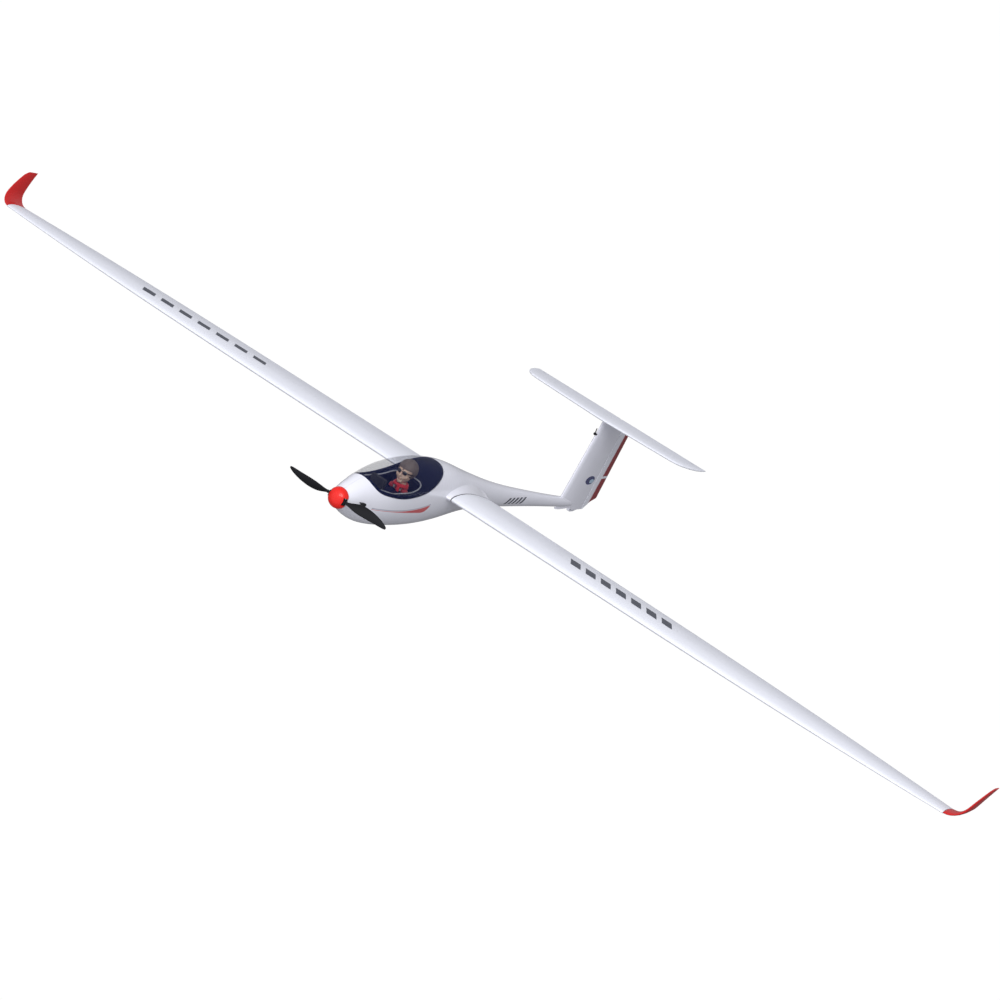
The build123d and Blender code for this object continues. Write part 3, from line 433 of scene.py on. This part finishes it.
def cloth_finish(name, color):
    made, shader, n = material(name, 0.75, Sheen_Weight=0.3)
    where, _, _, _ = n.place()
    weave = n.node("ShaderNodeTexWave", {"wave_type": "BANDS"}, Vector=where, Scale=900.0,
                   Distortion=1.0).outputs["Fac"]
    darker = tuple(c * 0.6 for c in color[:3]) + (1,)
    n.link(n.mix(n.noise(where, 200.0), darker, color), shader.inputs["Base Color"])
    n.link(n.bump(weave, 0.4, 0.0001), shader.inputs["Normal"])
    return made


def dial_finish():
    """A black face with a ring of pale ticks and a pointer, in the dial's own frame."""
    made, shader, n = material("dial_face", 0.35)
    _, x, _, z = n.place()
    reach = n.math("SQRT", n.math("ADD", n.math("MULTIPLY", x, x), n.math("MULTIPLY", z, z)))
    turn = n.math("FRACT", n.math("MULTIPLY", n.math("ARCTAN2", z, x), 12 / (2 * math.pi)))
    ticks = n.product(n.band(reach, 2.6 * MM, 3.3 * MM, 0.05 * MM), n.band(turn, 0.38, 0.62, 0.03))
    hand = n.product(n.band(x, -0.25 * MM, 0.25 * MM, 0.05 * MM), n.band(z, -0.4 * MM, 2.5 * MM, 0.05 * MM))
    color = n.mix(n.largest(ticks, hand), rgb(0.01, 0.01, 0.012), rgb(0.8, 0.8, 0.76))
    n.link(color, shader.inputs["Base Color"])
    return made


def give(mat, *names):
    for name in names:
        slots = NODES[name].data.materials
        slots.clear()
        slots.append(mat)


def dress_cad_nodes():
    """Every CAD node that is shown gets its finish."""
    foam, steel = foam_finish(), plain("bright_steel", rgb(0.55, 0.55, 0.56), 0.28, Metallic=1.0)
    white_nylon, black = plain("white_nylon", rgb(0.78, 0.79, 0.78), 0.42), blade_finish()
    give(fuselage_finish(), "fuselage_left_shell", "fuselage_right_shell", "tail_skid")
    give(wing_finish("left_wing_foam", *LEFT_BARS), "left_wing")
    give(wing_finish("right_wing_foam", *RIGHT_BARS), "right_wing")
    give(foam, "left_aileron", "right_aileron", "left_flap", "right_flap", "horizontal_stabiliser",
         "elevator")
    give(rudder_finish(), "rudder")
    gloss = {"Specular_IOR_Level": 0.3, "Coat_Weight": 0.08}
    give(plain("red_paint", RED, 0.35, 500.0, 0.00006, 0.08, **gloss), "left_winglet", "right_winglet")
    give(plain("red_spinner", rgb(0.78, 0.016, 0.010), 0.28, 400.0, 0.00005, 0.08, **gloss), "spinner")
    give(canopy_finish(), "canopy_glass")
    give(black, "left_blade", "right_blade", "propeller_yoke", "nose_scoop", "fin_probe", "wing_root_ribs")
    give(plain("cockpit_lining", rgb(0.005, 0.009, 0.045), 0.6, Specular_IOR_Level=0.1), "cockpit_floor",
         "canopy_frame")
    give(plain("panel_coat", rgb(0.03, 0.03, 0.034), 0.55), "instrument_panel")
    give(plain("machined_alloy", rgb(0.72, 0.72, 0.74), 0.3, Metallic=1.0), "motor_stator")
    give(steel, "motor_bell", "blade_screws", "wheel_axle", "stabiliser_screws")
    give(carbon_finish(), "wing_joiner_tube")
    give(plywood_finish(), "motor_firewall", "battery_tray")
    give(plain("tyre_rubber", rgb(0.022, 0.022, 0.023), 0.75, 500.0, 0.0002), "belly_wheel")
    give(white_nylon, "wheel_bracket", "rudder_hinge_lugs")
    give(plain("blue_sleeve", rgb(0.02, 0.07, 0.3), 0.3), "battery_pack")
    give(servo_finish(), "wing_servos", "tail_servos", "speed_controller", "radio_receiver")
    for surface in ("left_flap", "right_flap", "left_aileron", "right_aileron", "elevator", "rudder"):
        give(white_nylon, surface + "_horn", surface + "_servo_arm")
        give(steel, surface + "_pushrod")


# ---- Mesh helpers ----

def finish_mesh(name, bm, mat, body, smooth=True, at=(0, 0, 0)):
    """A new piece from a bmesh, with its material, riding on a body."""
    data = bpy.data.meshes.new(name)
    bm.to_mesh(data)
    bm.free()
    obj = bpy.data.objects.new(name, data)
    bpy.context.scene.collection.objects.link(obj)
    data.materials.append(mat)
    for face in data.polygons:
        face.use_smooth = smooth
    obj.location = at
    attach(obj, body)
    return obj


def ellipsoid(bm, centre, radii, turn=None, segments=28):
    spot = Matrix.Translation(Vector(centre) * MM)
    size = Matrix.Diagonal((*[r * MM for r in radii], 1))
    bmesh.ops.create_uvsphere(bm, u_segments=segments, v_segments=segments // 2, radius=1,
                              matrix=spot @ (turn or Matrix.Identity(4)) @ size)


def fuse(bm, voxel, smooth_steps):
    """One closed skin round the overlapping forms in a bmesh."""
    data = bpy.data.meshes.new("forms")
    bm.to_mesh(data)
    bm.free()
    obj = bpy.data.objects.new("forms", data)
    bpy.context.scene.collection.objects.link(obj)
    remesh = obj.modifiers.new("skin", "REMESH")
    remesh.mode = "VOXEL"
    remesh.voxel_size = voxel
    smooth = obj.modifiers.new("soften", "SMOOTH")
    smooth.factor, smooth.iterations = 0.6, smooth_steps
    shown = obj.evaluated_get(bpy.context.evaluated_depsgraph_get())
    result = bmesh.new()
    result.from_mesh(shown.to_mesh())
    bpy.data.objects.remove(obj)
    return result


def tube_ring(bm, points, radius, segments=10):
    """A closed round bead along a ring of points, in metres."""
    count = len(points)
    rings = []
    for i, point in enumerate(points):
        along = (points[(i + 1) % count] - points[i - 1]).normalized()
        side = along.cross(Vector((0, 0, 1)))
        side = side.normalized() if side.length > 1e-6 else Vector((1, 0, 0))
        up = side.cross(along).normalized()
        rings.append([bm.verts.new(point + radius * (math.cos(a) * side + math.sin(a) * up))
                      for a in (2 * math.pi * k / segments for k in range(segments))])
    for i in range(count):
        a, b = rings[i], rings[(i + 1) % count]
        for k in range(segments):
            bm.faces.new((a[k], a[(k + 1) % segments], b[(k + 1) % segments], b[k]))
    bmesh.ops.recalc_face_normals(bm, faces=bm.faces)


# ---- Pilot: a moulded bust with a plain face, a leather helmet, dark glasses and a red scarf ----

HEAD_SCALE = 1.2


def pilot_place():
    """Where the head's chin line meets the figure's axis."""
    low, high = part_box("pilot_figure")
    centre_y = 0.5 * (low.y + high.y) / MM
    return centre_y - 2, high.z / MM - 41.5 * HEAD_SCALE


def grown(bm, at_y, at_z):
    """The forms enlarged from drawing units to the figure's head, about the chin point."""
    spot = Matrix.Translation(Vector((0, at_y, at_z)) * MM)
    bm.transform(spot @ Matrix.Scale(HEAD_SCALE, 4) @ spot.inverted())
    return bm


def shift(forms, at_y, at_z):
    return [((x, y + at_y, z + at_z), radii) for (x, y, z), radii in forms]


def pilot_head(at_y, at_z):
    forms = [
        ((0, 2, 25.5), (14.6, 16.8, 14.6)),      # cranium
        ((0, -2.5, 14), (11.6, 12.6, 13.2)),     # face
        ((0, -9.2, 4.2), (5.4, 4.4, 4.2)),       # chin
        ((-7, -9.5, 14), (4.4, 4.4, 5)), ((7, -9.5, 14), (4.4, 4.4, 5)),     # cheeks
        ((0, -13, 23.2), (9, 3.2, 2.2)),         # brow
        ((0, -15.2, 17.6), (1.9, 2.8, 5)),       # bridge of the nose
        ((0, -17, 14.4), (2.3, 2.6, 2)),         # tip of the nose
        ((0, -13.8, 9.2), (3.6, 1.7, 1.0)), ((0, -13.4, 7.4), (3.2, 1.7, 1.1)),     # lips
        ((0, 3, -2), (7.6, 7.6, 11)),            # neck
    ]
    bm = bmesh.new()
    for centre, radii in shift(forms, at_y, at_z):
        ellipsoid(bm, centre, radii)
    head = grown(fuse(bm, 0.55 * MM, 5), at_y, at_z)
    skin = skin_finish((at_z + 8.3 * HEAD_SCALE) * MM)
    piece = finish_mesh("pilot_head", head, skin, "canopy")
    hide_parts("pilot_figure")


def pilot_helmet(at_y, at_z):
    """A close leather helmet with a rolled edge, ear flaps and a raised seam over the crown."""
    bm = bmesh.new()
    ellipsoid(bm, (0, at_y + 2.6, at_z + 25.6), (15.9, 18.0, 16.0), segments=48)
    face_y, brow_z, ear_z = (at_y - 6) * MM, (at_z + 26) * MM, (at_z + 11) * MM
    open_faces = []
    for face in bm.faces:
        c = face.calc_center_median()
        if (c.y < face_y and c.z < brow_z) or c.z < ear_z:
            open_faces.append(face)
    bmesh.ops.delete(bm, geom=open_faces, context="FACES")
    rim = [edge for edge in bm.edges if edge.is_boundary]
    bmesh.ops.smooth_vert(bm, verts=list({v for e in rim for v in e.verts}), factor=0.6,
                          use_axis_x=True, use_axis_y=True, use_axis_z=True)
    leather = leather_finish()
    shell = finish_mesh("pilot_helmet", grown(bm, at_y, at_z), leather, "canopy")
    thick = shell.modifiers.new("leather", "SOLIDIFY")
    thick.thickness, thick.offset = 0.9 * MM, 1.0
    soft = shell.modifiers.new("soft", "SUBSURF")
    soft.levels = soft.render_levels = 1

    bm = bmesh.new()
    centre = Vector((0, (at_y + 2.6) * MM, (at_z + 25.6) * MM))
    arc = [math.radians(a) for a in range(-38, 190, 6)]
    for offset in (-0.6, 0.6):
        points = [centre + Vector((offset, -18.7 * math.cos(a), 16.7 * math.sin(a))) * MM for a in arc]
        back = [p + Vector((0.35 * MM, 0, 0)) for p in reversed(points)]
        tube_ring(bm, points + back, 0.35 * MM, 6)
    finish_mesh("pilot_helmet_seam", grown(bm, at_y, at_z), leather, "canopy")


def pilot_glasses(at_y, at_z):
    bm = bmesh.new()
    for side in (-1, 1):
        ellipsoid(bm, (side * 5.6, at_y - 15.2, at_z + 20.2), (4.5, 1.6, 3.4),
                  Matrix.Rotation(math.radians(14 * side), 4, "Z"))
    ellipsoid(bm, (0, at_y - 16.6, at_z + 20.9), (2.4, 0.8, 0.7))
    for side in (-1, 1):
        ellipsoid(bm, (side * 12.4, at_y - 8.5, at_z + 21), (1.0, 7.5, 0.8),
                  Matrix.Rotation(math.radians(-24 * side), 4, "Z"))
    dark = plain("smoked_lens", rgb(0.012, 0.011, 0.011), 0.12, Coat_Weight=0.6)
    finish_mesh("pilot_glasses", grown(bm, at_y, at_z), dark, "canopy")


def pilot_scarf(at_y, at_z):
    """Two rolls of cloth round the neck and a knot with a short end in front."""
    bm = bmesh.new()
    for radius, rise, lean, thick in ((10.4, -1.2, 0.16, 2.7), (11.4, -4.6, -0.1, 3.0)):
        points = []
        for i in range(40):
            a = 2 * math.pi * i / 40
            wave = 0.45 * math.sin(5 * a) + 0.3 * math.sin(11 * a + 1)
            x = (radius + wave) * math.cos(a)
            y = at_y + 2.4 + (radius * 0.95 + wave) * math.sin(a)
            z = at_z + rise + radius * lean * math.sin(a) + 0.4 * math.sin(7 * a)
            points.append(Vector((x, y, z)) * MM)
        tube_ring(bm, points, thick * MM, 12)
    ellipsoid(bm, (1.6, at_y - 9.8, at_z - 4.4), (3.4, 2.6, 3.2))
    ellipsoid(bm, (4.4, at_y - 10.4, at_z - 10), (3.2, 1.5, 6.2), Matrix.Rotation(math.radians(-14), 4, "Y"))
    scarf = grown(fuse(bm, 0.6 * MM, 3), at_y, at_z)
    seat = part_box("pilot_figure")[0].z
    for v in scarf.verts:
        v.co.z = max(v.co.z, seat)
    cloth = cloth_finish("red_scarf", rgb(0.80, 0.02, 0.03))
    finish_mesh("pilot_scarf", scarf, cloth, "canopy")


def pilot_torso(at_y, at_z):
    """Shoulders and upper arms in a red jacket, with a pale harness laid over them."""
    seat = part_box("pilot_figure")[0].z / MM
    bm = bmesh.new()
    forms = [((0, 3, -11), (17.5, 9.5, 9.5)), ((0, 2, seat - at_z + 8.5), (15, 9.5, 8)),
             ((-16.5, 1, -14), (6.2, 7, 7.6)), ((16.5, 1, -14), (6.2, 7, 7.6)),
             ((0, 3, -6), (10.5, 8, 5))]
    for centre, radii in shift(forms, at_y, at_z):
        ellipsoid(bm, centre, radii)
    torso = fuse(bm, 0.8 * MM, 6)
    for v in torso.verts:
        v.co.z = max(v.co.z, seat * MM)
    jacket = finish_mesh("pilot_torso", torso, cloth_finish("red_jacket", rgb(0.55, 0.035, 0.05)), "canopy")
    skin = BVHTree.FromObject(jacket, bpy.context.evaluated_depsgraph_get())
    bm = bmesh.new()
    for side in (-1, 1):
        rows = []
        for i in range(19):
            a = math.radians(-35 + 215 * i / 18)
            aim = Vector((side * 7.5, at_y + 3, at_z - 13)) * MM
            far = aim + Vector((0, -24 * math.cos(a), 24 * math.sin(a))) * MM
            hit, normal, _, _ = skin.ray_cast(far, (aim - far).normalized())
            if hit is None or hit.z < (seat + 1.5) * MM:
                continue
            rows.append([bm.verts.new(hit + normal * 0.5 * MM + Vector((w * MM, 0, 0))) for w in (-2, 2)])
        for a, b in zip(rows, rows[1:]):
            bm.faces.new((a[0], a[1], b[1], b[0]))
    straps = finish_mesh("pilot_harness", bm, cloth_finish("pale_webbing", rgb(0.66, 0.64, 0.6)), "canopy")
    thick = straps.modifiers.new("webbing", "SOLIDIFY")
    thick.thickness, thick.offset = 0.7 * MM, 1.0


def make_pilot():
    at_y, at_z = pilot_place()
    for part in (pilot_head, pilot_helmet, pilot_glasses, pilot_scarf, pilot_torso):
        part(at_y, at_z)


# ---- Cockpit trim ----

def cockpit_coaming():
    """A pale padded roll round the cockpit opening, laid on the floor moulding."""
    low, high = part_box("cockpit_floor")
    floor = BVHTree.FromObject(NODES["cockpit_floor"], bpy.context.evaluated_depsgraph_get())
    centre_y, half_y, half_x, squareness = -112 * MM, 84 * MM, 37.5 * MM, 0.55
    points, height = [], 90 * MM
    for i in range(96):
        a = 2 * math.pi * i / 96
        c, s = math.cos(a), math.sin(a)
        x = half_x * math.copysign(abs(c) ** squareness, c)
        y = centre_y + half_y * math.copysign(abs(s) ** squareness, s)
        hit, _, _, _ = floor.ray_cast(Vector((x, y, high.z + 0.02)), Vector((0, 0, -1)))
        if hit and hit.z > low.z + 5 * MM:
            height = hit.z
        height += 0.9 * MM
        points.append(Vector((x, y, height)))
    for _ in range(14):
        heights = [0.5 * (points[i - 1].z + points[(i + 1) % len(points)].z) for i in range(len(points))]
        for point, height in zip(points, heights):
            point.z = height
    bm = bmesh.new()
    tube_ring(bm, points, 1.4 * MM)
    trim = plain("pale_trim", rgb(0.5, 0.52, 0.56), 0.5)
    finish_mesh("cockpit_coaming", bm, trim, "canopy")


def panel_dials():
    """Five round instruments on the side of the panel that faces the pilot."""
    low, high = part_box("instrument_panel")
    face_y = high.y + 0.35 * MM
    rim_paint, face_paint = plain("dial_rim", rgb(0.2, 0.2, 0.21), 0.35, Metallic=1.0), dial_finish()
    spots = [(-10.5, 17), (0, 18.5), (10.5, 17), (-6, 8), (6, 8)]
    for i, (x, rise) in enumerate(spots):
        bm = bmesh.new()
        ring = [Vector((4 * MM * math.cos(a), 0, 4 * MM * math.sin(a)))
                for a in (2 * math.pi * k / 32 for k in range(32))]
        tube_ring(bm, ring, 0.45 * MM, 8)
        bm.transform(Matrix.Translation((x * MM, face_y, low.z + rise * MM)))
        finish_mesh(f"dial_rim_{i + 1}", bm, rim_paint, "canopy")
        bm = bmesh.new()
        bmesh.ops.create_cone(bm, segments=32, radius1=3.9 * MM, radius2=3.7 * MM, depth=0.5 * MM,
                              cap_ends=True, matrix=Matrix.Rotation(math.radians(-90), 4, "X"))
        finish_mesh(f"dial_face_{i + 1}", bm, face_paint, "canopy", smooth=False,
                    at=(x * MM, face_y - 0.1 * MM, low.z + rise * MM))


# ---- Assembly ----

make_camera()
make_stage()
make_light()
dress_cad_nodes()
make_pilot()
cockpit_coaming()
panel_dials()
bpy.context.scene.view_settings.view_transform = "Standard"
